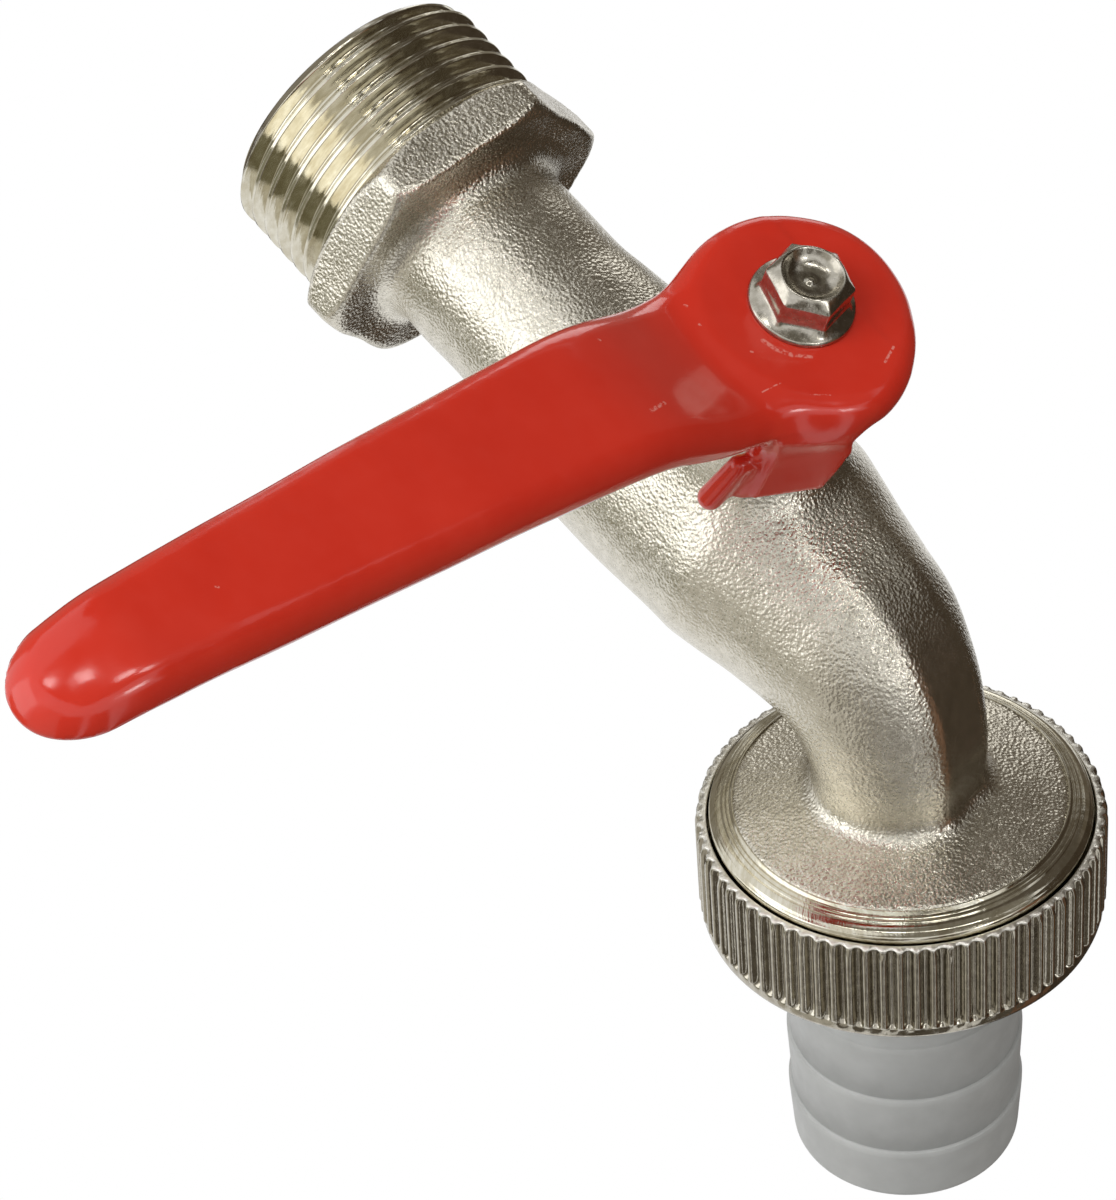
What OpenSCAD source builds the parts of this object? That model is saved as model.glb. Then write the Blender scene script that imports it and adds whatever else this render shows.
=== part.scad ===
// Hose tap: a quarter-turn ball valve in a one-piece forged elbow body, with a dipped lever and a
// hose tail held by a knurled union nut.
// Frame: X runs along the inlet away from the wall, Z is the stem axis direction, and the origin is
// the centre of the inlet end face. The lever is shown shut, square to the inlet, along -Y.

/* [Inlet] */
// Major diameter of the 3/4 inch pipe thread
inlet_d = 26.44; // [26.2:0.01:26.6]
// Length of the thread from the end face to the hexagon
thread_len = 11.8; // [10:0.1:14]
// Bore at the mouth of the inlet
mouth_d = 20; // [18:0.5:21]
// Width of the hexagon across its flats
hex_af = 27.1; // [26.6:0.1:28]
// Thickness of the hexagon
hex_t = 4.5; // [4:0.1:6]
// Angle that the hexagon is turned about the inlet axis
hex_turn = 10.5; // [0:0.5:30]

/* [Barrel] */
// Outside diameter of the neck behind the hexagon
neck_d = 18.2; // [18:0.1:19]
// Outside diameter over the ball
chamber_d = 22.4; // [22:0.1:23]
// Distance from the inlet end face to the stem axis
stem_x = 50.5; // [50:0.1:52]
// Distance from the inlet end face to where the outlet axis crosses the inlet axis
elbow_x = 73.7; // [73:0.1:75]

/* [Outlet] */
// Angle between the outlet axis and straight down, in the plane of the stem
outlet_tilt = 22.5; // [15:0.5:30]
// Outside diameter of the spout
spout_d = 15.4; // [15:0.1:16.5]
// Major diameter of the 1 inch pipe thread on the outlet
outlet_d = 33.2; // [33:0.05:33.3]
// Distance along the outlet axis from the crossing to the top of the outlet boss
boss_s = 12.3; // [12:0.1:14]
// Length of the outlet boss
boss_len = 5.7; // [5:0.1:7]

/* [Union nut] */
// Diameter over the knurl
nut_d = 35.7; // [35.4:0.1:38]
// Height of the nut
nut_h = 10.5; // [10:0.1:12]
// Number of knurl ridges
knurl_n = 77; // [60:1:90]
// Depth of the knurl grooves
knurl_depth = 0.42; // [0.2:0.02:0.5]

/* [Hose tail] */
// Diameter over the barbs
tail_d = 21.2; // [20:0.1:22]
// Diameter of the tail's bore
tail_bore = 15.2; // [14:0.1:16]
// Distance from one barb to the next
barb_pitch = 6.67; // [6:0.01:7]
// How far each barb stands out
barb_rise = 0.33; // [0.1:0.01:0.6]
// Distance along the outlet axis from the crossing to the end of the tail
tail_end = 52.1; // [50:0.1:56]

/* [Valve] */
// Diameter of the ball
ball_d = 14.5; // [14.3:0.05:14.6]
// Bore through the ball
ball_bore = 9.6; // [8:0.1:10]
// Diameter of the stem
stem_d = 8; // [7.8:0.05:8.1]
// Bore of the waterway beyond the ball
way_d = 11; // [9:0.1:11.2]

/* [Lever] */
// Diameter of the lever's round head
head_d = 19.9; // [19:0.1:21]
// Thickness of the head
head_t = 4; // [3.5:0.1:4.5]
// Height of the head's underside above the inlet axis
head_z = 25; // [24.8:0.1:26]
// Distance from the stem axis to the lever's tip
lever_len = 80.6; // [70:0.1:90]
// Width of the bar where it leaves the head
bar_w = 15.3; // [14:0.1:16]
// How much the bar narrows for each millimetre of its length
bar_taper = 0.078; // [0.04:0.002:0.09]
// Thickness of the bar
bar_t = 5; // [4:0.1:6]
// Height that the crank lifts the bar, on top of the slope
crank_rise = 2.5; // [2:0.1:6]
// Slope of the bar beyond the crank, in degrees
bar_slope = 8.9; // [0:0.1:12]

/* [Hidden] */
$fn = 96;
eps = 0.01;

// Running and assembly clearances, radial
run_gap = 0.05;
loose_gap = 0.3;

// Inlet and pocket
hex_x = thread_len;
neck_x = hex_x + hex_t;
neck_fillet = 2.4;
pocket_r = 7.75;
pocket_x = 15.6;

// Ball seats
seat_t = 3.5;
seat_off = 4.2;
seat_bore_r = 4.9;
shoulder_x = stem_x + seat_off + seat_t;
seat_x = stem_x - seat_off - seat_t;
retainer_t = 6;
retainer_key_af = 10.2;

// Elbow path: it grows out of the barrel, bends on elbow_r and runs on to the outlet boss
bend = 90 - outlet_tilt;
elbow_r = 10.5;
bend_run = elbow_r * tan(bend / 2);
bend_start_r = 9.2;
bend_x = elbow_x - bend_run;
spout_r = spout_d / 2;
// Share of the radius at which the outer face is dressed flat along the parting line
land_share = 0.94;
// How far the section's centre steps out over the bend's start, and in towards the throat at its end
crown_step = 1.4;
throat_step = 0.3;

// Stem boss, gland and stem, heights above the inlet axis
boss_r = 7.1;
stem_r = stem_d / 2;
collar_r = stem_r + 1.2;
packing_r = collar_r + 0.1;
gland_r = 6;
boss_floor_z = 9.6;
washer_t = 0.8;
collar_z = boss_floor_z + washer_t;
collar_top_z = collar_z + 3.2;
packing_t = 2;
boss_top_z = 20.8;
gland_bore_z = 15.2;
gland_hex_t = 3.2;
gland_af = 13;
stem_flat_af = 6;
stem_top_z = head_z + head_t - 0.3;
ring_z = collar_z + 1.6;
ring_r = 0.58;
tang_t = 3;
tang_w = 7;
tang_z = 5.2;
slot_floor_z = 5;

// Lever bolt
bolt_r = 2;
bolt_af = 7;
flange_r = 4.5;
bolt_z = head_z + head_t;
bolt_head_h = 3.3;
bolt_len = 9;

// Stop tab of the lever, and the stop lugs on the boss
tab_turn = -26;
tab_r = 9.75;
tab_ball = 1.25;
tab_low_z = 18.4;
lug_r = 9.2;
lug_w = 2.6;
lug_z = 16.5;
shut_lug_turn = -62;
open_lug_turn = 84;

// Union: distances along the outlet axis
nut_s = boss_s + 0.75;
nut_lip = 1.5;
nut_r = nut_d / 2;
gasket_t = 2;
gasket_s = boss_s + boss_len;
flange_s = gasket_s + gasket_t;
flange_t = nut_s + nut_h - nut_lip - flange_s;
tail_r = tail_d / 2;
tail_root_r = tail_r - barb_rise;

brass_white = "#C9C4B8";
steel = "#B9B7B2";

// Smooth step from 0 to 1 as t goes from 0 to 1
function ease(t) = let (c = max(0, min(1, t))) c * c * (3 - 2 * c);

// Points of an arc in a plane, centre [x, y], from angle a to angle b
function arc(cx, cy, r, a, b, n = 8) = [for (i = [0 : n]) let (t = a + (b - a) * i / n)
    [cx + r * cos(t), cy + r * sin(t)]];

// Faces of a closed skin over a stack of rings, each with n points
function skin_faces(rings, n) = concat(
    [[for (j = [0 : n - 1]) j]],
    [for (i = [0 : rings - 2], j = [0 : n - 1]) let (k = (j + 1) % n)
        [i * n + j, (i + 1) * n + j, (i + 1) * n + k]],
    [for (i = [0 : rings - 2], j = [0 : n - 1]) let (k = (j + 1) % n)
        [i * n + j, (i + 1) * n + k, i * n + k]],
    [[for (j = [n - 1 : -1 : 0]) (rings - 1) * n + j]]);

// Puts a shape drawn along Z onto the inlet axis
module on_inlet() {
    rotate([0, 90, 0]) children();
}

// Puts a shape drawn along Z onto the outlet axis, with zero at the crossing
module on_outlet() {
    translate([elbow_x, 0, 0]) rotate([0, 180 - outlet_tilt, 0]) children();
}

module on_stem() {
    translate([stem_x, 0, 0]) children();
}

// Round tube along Z, from z0 to z1
module tube(ro, ri, z0, z1) {
    difference() {
        translate([0, 0, z0]) cylinder(r = ro, h = z1 - z0);
        translate([0, 0, z0 - 1]) cylinder(r = ri, h = z1 - z0 + 2);
    }
}

// Outline of the barrel as [radius, distance], from the thread to the start of the elbow
barrel_outline = concat(
    [[0, 0], [inlet_d / 2, 0], [inlet_d / 2, hex_x + 1.2], [inlet_d / 2 - 0.6, neck_x]],
    [for (p = arc(neck_x + neck_fillet, neck_d / 2 + neck_fillet, neck_fillet, 180, 270, 6))
        [p[1], p[0]]],
    [for (x = [30 : 1 : 42]) [neck_d / 2 + (chamber_d - neck_d) / 2 * ease((x - 30) / 12), x]],
    [[chamber_d / 2 - 0.25, 47], [chamber_d / 2 - 0.45, 52], [chamber_d / 2 - 0.85, 56],
        [chamber_d / 2 - 2, 60], [0, 60]]);

// Hexagon with its corners rounded by a turned form
module inlet_hex() {
    corner_r = hex_af / 2 / cos(30);
    intersection() {
        translate([hex_x, 0, 0]) rotate([hex_turn, 0, 0]) rotate([90, 0, 0]) rotate([0, 90, 0])
            cylinder(r = corner_r, h = hex_t, $fn = 6);
        on_inlet() rotate_extrude()
            polygon([[0, hex_x], [inlet_d / 2 - 0.1, hex_x], [corner_r - 0.3, hex_x + 1.9],
                [corner_r - 0.25, neck_x - 0.5], [corner_r - 0.7, neck_x], [0, neck_x]]);
    }
}

// Radius of the elbow's section at a distance x along the barrel
function run_in_r(x) = lookup(x, [[46, 10.4], [50, 11], [53.5, 11.25], [56, 11.25], [59, 10.6],
    [62, 9.95], [bend_x, bend_start_r]]);
// Radius and centre step of the section at share t of the bend
function bend_r(t) = bend_start_r - (bend_start_r - spout_r) * ease(t * 1.1);
function bend_step(t) = throat_step * t - crown_step * (1 - ease(t * 1.9));
// Section of the elbow: a circle, dressed nearly flat on its outer side
function elbow_ring(cx, cz, turn, r, step) = [for (j = [0 : 47]) let (a = j * 360 / 48,
    c = r * cos(a), flat = land_share * r, u = (c < flat ? c : flat + 0.06 * (c - flat)) - step)
    [cx + u * sin(turn), -r * sin(a), cz + u * cos(turn)]];

// One-piece elbow and spout, skinned over rings that follow the bent path
module elbow() {
    lead = [for (i = [0 : 9]) let (x = 46 + (bend_x - 46) * i / 10)
        elbow_ring(x, 0, 0, run_in_r(x), -crown_step * ease((x - 46) / 10))];
    turn = [for (i = [0 : 14]) let (t = i / 14, a = bend * t)
        elbow_ring(bend_x + elbow_r * sin(a), elbow_r * (cos(a) - 1), a, bend_r(t), bend_step(t))];
    foot = [for (s = [bend_run + 1.2, boss_s - 2]) elbow_ring(elbow_x + s * sin(outlet_tilt),
        -s * cos(outlet_tilt), bend, spout_r, throat_step)];
    flare = [for (i = [1 : 6]) let (a = i * 15, s = boss_s - 2 + 2 * sin(a))
        elbow_ring(elbow_x + s * sin(outlet_tilt), -s * cos(outlet_tilt), bend,
            spout_r + 2 * (1 - cos(a)), throat_step * cos(a))];
    last = [elbow_ring(elbow_x + (boss_s + 0.6) * sin(outlet_tilt),
        -(boss_s + 0.6) * cos(outlet_tilt), bend, spout_r + 2, 0)];
    rings = concat(lead, turn, foot, flare, last);
    polyhedron(points = [for (ring = rings) each ring], faces = skin_faces(len(rings), 48));
}

// Outlet boss, drawn along the outlet axis: blasted disc, turned rim and threaded skirt
module outlet_boss() {
    rim = 0.7;
    rotate_extrude() polygon([[0, boss_s], [outlet_d / 2 - rim, boss_s],
        [outlet_d / 2 - 0.15, boss_s + 0.35], [outlet_d / 2, boss_s + 0.6],
        [outlet_d / 2, boss_s + boss_len - 0.6], [outlet_d / 2 - 0.6, boss_s + boss_len],
        [0, boss_s + boss_len]]);
}

// Boss around the stem, with two lugs that stop the lever
module stem_boss() {
    rotate_extrude() polygon([[0, 0], [boss_r + 0.4, 0], [boss_r + 0.4, 8.6], [boss_r, 10.4],
        [boss_r, boss_top_z - 0.5], [boss_r - 0.5, boss_top_z], [0, boss_top_z]]);
    for (turn = [shut_lug_turn, open_lug_turn]) rotate([0, 0, turn])
        translate([0, -lug_w / 2, lug_z]) cube([lug_r, lug_w, boss_top_z - lug_z - 0.4]);
}

// Waterway beyond the ball, with the bend as a true ring segment, a hair wider than its bores
module waterway() {
    lap = 0.3;
    on_inlet() translate([0, 0, shoulder_x - 1])
        cylinder(d = way_d, h = bend_x - shoulder_x + 1 + lap);
    translate([bend_x, 0, -elbow_r]) rotate([90, 0, 0]) rotate([0, 0, outlet_tilt])
        rotate_extrude(angle = bend) translate([elbow_r, 0]) circle(d = way_d + 0.1);
    on_outlet() translate([0, 0, bend_run - lap])
        cylinder(d = way_d, h = boss_s + boss_len - bend_run + 1 + lap);
    on_outlet() translate([0, 0, boss_s + 2.6]) cylinder(d = 22, h = boss_len);
}

module tap_body() {
    color(brass_white) difference() {
        union() {
            on_inlet() rotate_extrude() polygon(barrel_outline);
            inlet_hex();
            elbow();
            on_outlet() outlet_boss();
            on_stem() stem_boss();
        }
        // Inlet mouth, cone and ball pocket
        on_inlet() rotate_extrude() polygon([[0, -1], [mouth_d / 2 + 0.4, -1], [mouth_d / 2 + 0.4, 0],
            [mouth_d / 2, 0.4], [mouth_d / 2, pocket_x - 3], [pocket_r, pocket_x],
            [pocket_r, shoulder_x], [0, shoulder_x]]);
        waterway();
        on_stem() {
            cylinder(r = stem_r + run_gap, h = boss_floor_z + 1);
            translate([0, 0, boss_floor_z]) cylinder(r = packing_r, h = boss_top_z);
            translate([0, 0, gland_bore_z]) cylinder(r = gland_r + run_gap, h = boss_top_z);
        }
    }
}

// Screwed ring that holds the seats against the ball, with a hexagon socket for its key
module seat_retainer() {
    color("#C9A45A") on_inlet() difference() {
        tube(pocket_r - run_gap, way_d / 2 - 0.5, seat_x - retainer_t, seat_x);
        translate([0, 0, seat_x - retainer_t - 1])
            cylinder(r = retainer_key_af / 2 / cos(30), h = 4, $fn = 6);
    }
}

// Seat ring drawn with its back at z = 0 and the ball towards +Z
module seat_ring() {
    difference() {
        tube(pocket_r - run_gap, seat_bore_r, 0, seat_t);
        translate([0, 0, seat_t + seat_off]) sphere(d = ball_d + 2 * run_gap);
    }
}

module seat_inlet() {
    color("#F4F3EE") translate([seat_x, 0, 0]) rotate([0, 90, 0]) seat_ring();
}

module seat_outlet() {
    color("#F4F3EE") translate([shoulder_x, 0, 0]) rotate([0, -90, 0]) seat_ring();
}

// Ball turned shut: its bore lies across the inlet and its slot along it
module ball() {
    color("#D9D9D6") on_stem() difference() {
        sphere(d = ball_d);
        translate([0, ball_d, 0]) rotate([90, 0, 0]) cylinder(d = ball_bore, h = 2 * ball_d);
        translate([-ball_d, -(tang_t + 0.2) / 2, slot_floor_z])
            cube([2 * ball_d, tang_t + 0.2, ball_d]);
    }
}

module stem() {
    color("#C9A45A") on_stem() difference() {
        union() {
            translate([-tang_w / 2, -tang_t / 2, tang_z])
                cube([tang_w, tang_t, boss_floor_z - 1 - tang_z]);
            translate([0, 0, boss_floor_z - 1.2]) cylinder(r = stem_r, h = head_z - boss_floor_z + 1.2);
            translate([0, 0, collar_z]) cylinder(r = collar_r, h = collar_top_z - collar_z);
            intersection() {
                cylinder(r = stem_r, h = stem_top_z);
                translate([-stem_r, -stem_flat_af / 2, head_z - 1])
                    cube([2 * stem_r, stem_flat_af, head_t + 1]);
            }
        }
        // Groove for the sealing ring, and the tapped hole
        tube(collar_r + 1, stem_r + 0.1, ring_z - 0.8, ring_z + 0.8);
        translate([0, 0, stem_top_z - bolt_len - 0.5]) cylinder(r = bolt_r, h = bolt_len + 1);
    }
}

module thrust_washer() {
    color("#F4F3EE") on_stem() tube(packing_r - run_gap, stem_r + run_gap, boss_floor_z, collar_z);
}

module stem_o_ring() {
    color("#232323") on_stem() translate([0, 0, ring_z]) rotate_extrude()
        translate([collar_r - 0.5, 0]) circle(r = ring_r, $fn = 32);
}

module stem_packing() {
    color("#F4F3EE") on_stem() tube(packing_r - run_gap, stem_r + run_gap, collar_top_z + 0.02,
        collar_top_z + packing_t);
}

module gland_nut() {
    color("#C9A45A") on_stem() difference() {
        union() {
            translate([0, 0, collar_top_z + packing_t])
                cylinder(r = gland_r, h = boss_top_z - collar_top_z - packing_t + eps);
            intersection() {
                translate([0, 0, boss_top_z])
                    cylinder(r = gland_af / 2 / cos(30), h = gland_hex_t, $fn = 6);
                translate([0, 0, boss_top_z]) rotate_extrude()
                    polygon([[0, 0], [7.6, 0], [7.6, gland_hex_t - 0.7],
                        [gland_af / 2 - 0.1, gland_hex_t], [0, gland_hex_t]]);
            }
        }
        cylinder(r = stem_r + run_gap, h = head_z);
    }
}

// Lever bar: height, width and thickness at a distance from the stem axis
crank_from = 8;
crank_to = 24;
tip_round = 5.2;
tip_from = lever_len - tip_round;
function bar_z(d) = head_z + head_t / 2
    + (crank_rise + d * tan(bar_slope)) * ease((d - crank_from) / (crank_to - crank_from));
function bar_half(d) = (bar_w - bar_taper * (d - crank_from)) / 2 + 1.4 * (1 - ease((d - 2) / 8));
function tip_share(d) = d < tip_from ? 1 : sqrt(max(0, 1 - pow((d - tip_from) / tip_round, 2)));
function bar_thick(d) = head_t + (bar_t - head_t) * ease((d - 10) / 12)
    + 1.1 * ease((d - tip_from + 5) / 6);
bar_stations = concat([for (d = [3 : 1.6 : 26]) d], [for (d = [29 : 4.5 : tip_from - 4]) d],
    [for (i = [0 : 5]) tip_from - 4 + i * 0.8], [for (a = [0 : 12 : 84]) tip_from + tip_round * sin(a)],
    [lever_len - 0.003]);

// Section of the bar: a rectangle whose corners are rounded by a superellipse
function bar_section(d) = let (w = bar_half(d) * tip_share(d), t = bar_thick(d) / 2
    * (d < tip_from ? 1 : sqrt(tip_share(d))), drop = 0.5 * ease((d - tip_from + 5) / 6))
    [for (j = [0 : 35]) let (a = j * 10, c = cos(a), s = sin(a))
        [w * sign(c) * pow(abs(c), 0.42), -d, bar_z(d) - drop + t * sign(s) * pow(abs(s), 0.62)]];

module lever_bar() {
    polyhedron(points = [for (d = bar_stations) each bar_section(d)],
        faces = skin_faces(len(bar_stations), 36));
}

// Round head with rolled edges
module lever_head() {
    r = head_d / 2;
    rotate_extrude() polygon(concat([[0, head_z]], arc(r - 1.4, head_z + 1.4, 1.4, -90, 0),
        arc(r - 1.8, head_z + head_t - 1.8, 1.8, 0, 90), [[0, head_z + head_t]]));
}

// Stop tab folded down from the edge of the head, and the rolled edge that runs into it
module stop_tab() {
    corners = [[-7.7, tab_low_z - 1.1], [-5.2, head_z + 1.2], [1.2, head_z + 1.2],
        [0.7, tab_low_z + 0.6]];
    rolled = [[10.1, -24, 26.2], [9.7, -12, 23.6], [9.3, 0, 23.6], [9, 14, 25], [8.8, 26, 26.3]];
    rotate([0, 0, tab_turn]) hull()
        for (c = corners) translate([tab_r, c[0], c[1]]) sphere(r = tab_ball, $fn = 24);
    hull() for (c = rolled)
        rotate([0, 0, c[1]]) translate([c[0], 0, c[2]]) sphere(r = tab_ball, $fn = 24);
}

module lever_handle() {
    color("#C8281E") on_stem() difference() {
        union() {
            lever_bar();
            lever_head();
            stop_tab();
        }
        intersection() {
            translate([0, 0, head_z - 1]) cylinder(r = stem_r + run_gap, h = head_t + 2);
            translate([-stem_d, -stem_flat_af / 2 - run_gap, head_z - 1])
                cube([2 * stem_d, stem_flat_af + 2 * run_gap, head_t + 2]);
        }
    }
}

// Flanged hexagon bolt with a dished head
module lever_bolt() {
    color(steel) on_stem() translate([0, 0, bolt_z]) difference() {
        union() {
            rotate_extrude() polygon([[0, 0], [flange_r - 0.2, 0], [flange_r, 0.25],
                [flange_r, 0.7], [bolt_af / 2 + 0.3, 1.3], [0, 1.3]]);
            intersection() {
                rotate([0, 0, 30]) cylinder(r = bolt_af / 2 / cos(30), h = bolt_head_h, $fn = 6);
                rotate_extrude() polygon([[0, 0], [4.2, 0], [4.2, bolt_head_h - 0.75],
                    [bolt_af / 2 - 0.2, bolt_head_h], [0, bolt_head_h]]);
            }
            translate([0, 0, -bolt_len]) cylinder(r = bolt_r - 0.03, h = bolt_len + 1);
        }
        translate([0, 0, bolt_head_h - 0.6]) cylinder(r1 = 2.1, r2 = 2.75, h = 0.61);
        translate([0, 0, bolt_head_h - 0.9]) cylinder(r1 = 0.1, r2 = 0.6, h = 0.4);
    }
}

// Straight knurl as a ring of ridges with flat tops
module knurl(r, depth, n) {
    polygon([for (i = [0 : n - 1], p = [[-0.5, 1], [-0.12, 0], [0.12, 0], [0.499, 1]])
        let (a = (i + p[0]) * 360 / n, q = r - depth * p[1]) [q * cos(a), q * sin(a)]]);
}

module coupling_nut() {
    edge = 0.7;
    thread_r = outlet_d / 2 + run_gap;
    color(steel) on_outlet() difference() {
        union() {
            rotate_extrude() polygon([[0, nut_s], [nut_r - knurl_depth - 0.25, nut_s],
                [nut_r - knurl_depth, nut_s + 0.3], [nut_r - knurl_depth, nut_s + nut_h - 0.3],
                [nut_r - knurl_depth - 0.3, nut_s + nut_h], [0, nut_s + nut_h]]);
            translate([0, 0, nut_s + edge]) linear_extrude(nut_h - edge - 1.1)
                knurl(nut_r, knurl_depth, knurl_n);
        }
        translate([0, 0, nut_s - 1]) cylinder(r = thread_r, h = nut_h - nut_lip + 1);
        translate([0, 0, nut_s]) cylinder(r = tail_r + loose_gap, h = nut_h + 1);
    }
}

// Outline of the hose tail's outside, from under the nut to the end, with one taper for each barb
module hose_tail() {
    bore_r = tail_bore / 2;
    first = tail_end - 3 * barb_pitch + 0.2;
    seat_r = outlet_d / 2 - 0.7;
    outside = concat([[bore_r, flange_s], [seat_r, flange_s], [seat_r, flange_s + flange_t],
        [tail_root_r, flange_s + flange_t]],
        [for (i = [0 : 2], p = [[tail_root_r, 0], [tail_r, 0.12]]) [p[0], first + i * barb_pitch + p[1]]],
        arc(tail_root_r - 1, tail_end - 1, 1, 0, 90, 5), [[bore_r + 0.5, tail_end],
        [bore_r, tail_end - 0.5]]);
    color("#A9ABAA") on_outlet() rotate_extrude() polygon(outside);
}

module outlet_gasket() {
    color("#2B2B2B") on_outlet() tube(outlet_d / 2 - 0.7, tail_bore / 2, gasket_s, flange_s);
}

tap_body();
seat_retainer();
seat_inlet();
seat_outlet();
ball();
stem();
thrust_washer();
stem_o_ring();
stem_packing();
gland_nut();
lever_handle();
lever_bolt();
coupling_nut();
hose_tail();
outlet_gasket();
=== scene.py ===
# %% [markdown]
# # Hose tap
# A quarter-turn garden tap: a nickel-plated forging with a red dipped lever, a knurled union nut and a
# grey hose tail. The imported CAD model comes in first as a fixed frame, so that every new piece can be
# placed by the same numbers. The visible pieces are then modelled again with the softness of a
# forging, a dip and a knurl, and the hidden valve parts keep their CAD solids.

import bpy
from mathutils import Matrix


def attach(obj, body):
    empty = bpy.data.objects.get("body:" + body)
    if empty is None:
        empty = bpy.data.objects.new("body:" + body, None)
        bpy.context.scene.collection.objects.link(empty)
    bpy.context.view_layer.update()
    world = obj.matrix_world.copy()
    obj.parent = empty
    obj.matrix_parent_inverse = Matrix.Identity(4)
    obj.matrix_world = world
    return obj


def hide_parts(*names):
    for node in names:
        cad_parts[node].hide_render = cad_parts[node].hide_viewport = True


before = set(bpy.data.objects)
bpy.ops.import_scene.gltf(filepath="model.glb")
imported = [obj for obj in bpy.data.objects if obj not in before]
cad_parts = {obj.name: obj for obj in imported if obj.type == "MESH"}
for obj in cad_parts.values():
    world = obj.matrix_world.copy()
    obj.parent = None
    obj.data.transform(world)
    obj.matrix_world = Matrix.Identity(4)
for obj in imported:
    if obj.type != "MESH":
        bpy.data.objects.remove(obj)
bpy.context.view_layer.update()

# %% Modules and the unit that lengths are written in
import math

import bmesh
import bpy
import numpy as np
from mathutils import Matrix

MM = 0.001
print("Blender", bpy.app.version_string, "with numpy", np.__version__)

# %% [markdown]
# ## Camera
# The photograph looks down on the tap from its outlet side. The camera was solved from the round
# edges of the two threads, so its place and axes are given in the tap's own frame and the picture
# needs no shift. It is made first because every later look at the model goes through it.

# %% Camera
CAMERA_AT = (161.78, -197.42, 305.88)
CAMERA_RIGHT = (0.6431, 0.7397, 0.1982)
CAMERA_UP = (-0.7045, 0.4699, 0.5319)
FOCAL_PX = 4421.0
PICTURE_PX = (1116, 1200)


def aim_camera():
    """Places the camera: its axes are right, up and their cross product, which points backwards."""
    right, up = np.array(CAMERA_RIGHT), np.array(CAMERA_UP)
    right = right / np.linalg.norm(right)
    up = up - right * (up @ right)
    up = up / np.linalg.norm(up)
    data = bpy.data.cameras.new("camera")
    data.lens = FOCAL_PX / max(PICTURE_PX) * data.sensor_width
    data.clip_start, data.clip_end = 0.01, 10
    camera = bpy.data.objects.new("camera", data)
    bpy.context.scene.collection.objects.link(camera)
    turned = np.eye(4)
    turned[:3, 0], turned[:3, 1], turned[:3, 2] = right, up, np.cross(right, up)
    turned[:3, 3] = np.array(CAMERA_AT) * MM
    camera.matrix_world = Matrix(turned.tolist())
    bpy.context.scene.camera = camera
    return camera


camera = aim_camera()
print("camera lens", round(camera.data.lens, 2), "mm")

# %% [markdown]
# ## From numbers to meshes
# Two ways of making a surface serve the whole tap. A turned, knurled or threaded piece is a grid of
# points, because its shape is a function of an angle and a length. The forging and the dipped lever
# have no such grid: they are made of forms that run into each other. For those, a distance field gives
# the depth of every point below the skin, a blend of two fields is a fillet, and a net is drawn
# where the field is zero.

# %% Mesh from arrays
def mesh_object(name, points_mm, faces):
    """Makes an object from points in millimetres and an array of quads, merges doubles and
    turns the faces outwards."""
    mesh = bpy.data.meshes.new(name)
    count = len(points_mm)
    mesh.vertices.add(count)
    mesh.vertices.foreach_set("co", (np.asarray(points_mm, float) * MM).ravel())
    faces = np.asarray(faces, np.int32)
    size = faces.shape[1]
    mesh.loops.add(faces.size)
    mesh.loops.foreach_set("vertex_index", faces.ravel())
    mesh.polygons.add(len(faces))
    mesh.polygons.foreach_set("loop_start", np.arange(0, faces.size, size, dtype=np.int32))
    mesh.update(calc_edges=True)
    work = bmesh.new()
    work.from_mesh(mesh)
    bmesh.ops.remove_doubles(work, verts=work.verts, dist=2e-6)
    bmesh.ops.recalc_face_normals(work, faces=work.faces)
    work.to_mesh(mesh)
    work.free()
    mesh.polygons.foreach_set("use_smooth", np.ones(len(mesh.polygons), bool))
    made = bpy.data.objects.new(name, mesh)
    bpy.context.scene.collection.objects.link(made)
    return made


def report(made):
    """Prints how many triangles a piece has and how large it is."""
    mesh = made.data
    size = np.array(made.dimensions) / MM
    triangles = sum(len(p.vertices) - 2 for p in mesh.polygons)
    print(f"{made.name}: {triangles} triangles, {np.round(size, 1)} mm")


def store(piece, name, value_of):
    """Keeps a value for every point of a piece, worked out from its place, for the finish."""
    points = np.empty(len(piece.data.vertices) * 3)
    piece.data.vertices.foreach_get("co", points)
    value = value_of(points.reshape(-1, 3) / MM)
    layer = piece.data.attributes.new(name, "FLOAT", "POINT")
    layer.data.foreach_set("value", value.astype(np.float32))
    print(name, "on", int((value > 0.5).sum()), "points of", piece.name)


# %% Grid of points to quads
def grid_faces(rows, columns, wrap_rows=False):
    """Quads between neighbouring points of a rows x columns grid. The last column meets the first,
    and the last row too where asked."""
    i = np.arange(rows if wrap_rows else rows - 1)
    i, j = np.meshgrid(i, np.arange(columns), indexing="ij")
    i2, j2 = (i + 1) % rows, (j + 1) % columns
    corners = [i * columns + j, i2 * columns + j, i2 * columns + j2, i * columns + j2]
    return np.stack([c.ravel() for c in corners], 1)


# %% [markdown]
# The net over a distance field is the surface-net method. Space is cut into cubes. A cube with corners
# both inside and outside the form gets one point, the mean of the places where the field crosses
# zero on its edges. Four cubes round a crossed edge give one quad. Each point is then slid
# along the field's slope until its depth is zero, which takes the steps out of the surface.

# %% Surface net
CUBE_CORNERS = np.array([(i, j, k) for i in (0, 1) for j in (0, 1) for k in (0, 1)])
CUBE_EDGES = np.array([(a, b) for a in range(8) for b in range(a + 1, 8)
                       if np.abs(CUBE_CORNERS[a] - CUBE_CORNERS[b]).sum() == 1])
print("a cube has", len(CUBE_CORNERS), "corners and", len(CUBE_EDGES), "edges")


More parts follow.
